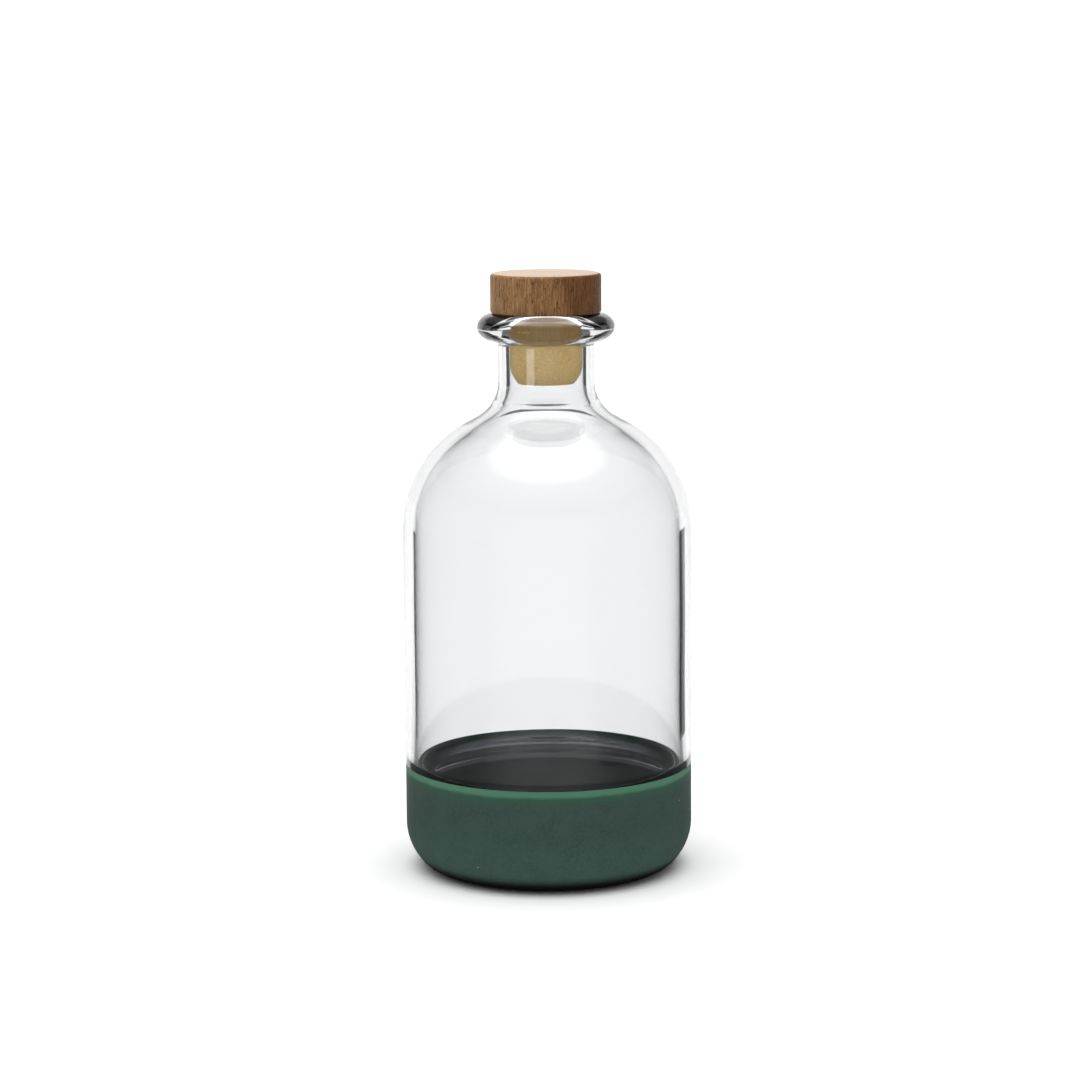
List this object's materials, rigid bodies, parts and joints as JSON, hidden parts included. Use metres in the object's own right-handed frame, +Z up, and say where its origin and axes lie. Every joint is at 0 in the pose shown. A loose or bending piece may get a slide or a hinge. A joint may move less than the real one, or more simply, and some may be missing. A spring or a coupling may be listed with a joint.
{
  "type": "apothecary bottle with stopper",
  "caption": "Clear glass apothecary bottle with a rolled lip, a heavy base, a rubber-coated foot and a wooden-headed push-in stopper.",
  "frame": {"origin": "centre of the foot's underside, on the surface that the bottle stands on", "axes": "+Z up the bottle's axis from the foot to the stopper; every piece is round about Z, so +X and +Y are any two directions across it"},
  "size_m": [0.0764, 0.0764, 0.1588],
  "materials": {
    "clear_glass": "clear, polished",
    "green_rubber": "matte, dark green",
    "beech": "fine-sanded, oiled",
    "synthetic_cork": "matte, fine-speckled, cork-coloured",
    "glue": "cured wood glue"
  },
  "bodies": {
    "bottle": {"glass_base": "clear_glass", "glass_body": "clear_glass", "glass_shoulder": "clear_glass", "rubber_base": "green_rubber"},
    "stopper": {"stopper_head": "beech", "stopper_shank": "synthetic_cork", "glue_film": "glue"}
  },
  "joints": [
    {"name": "stopper_pull", "type": "slide", "parent": "bottle", "child": "stopper", "axis": [0, 0, 1], "range_m": [0, 0.045]}
  ]
}
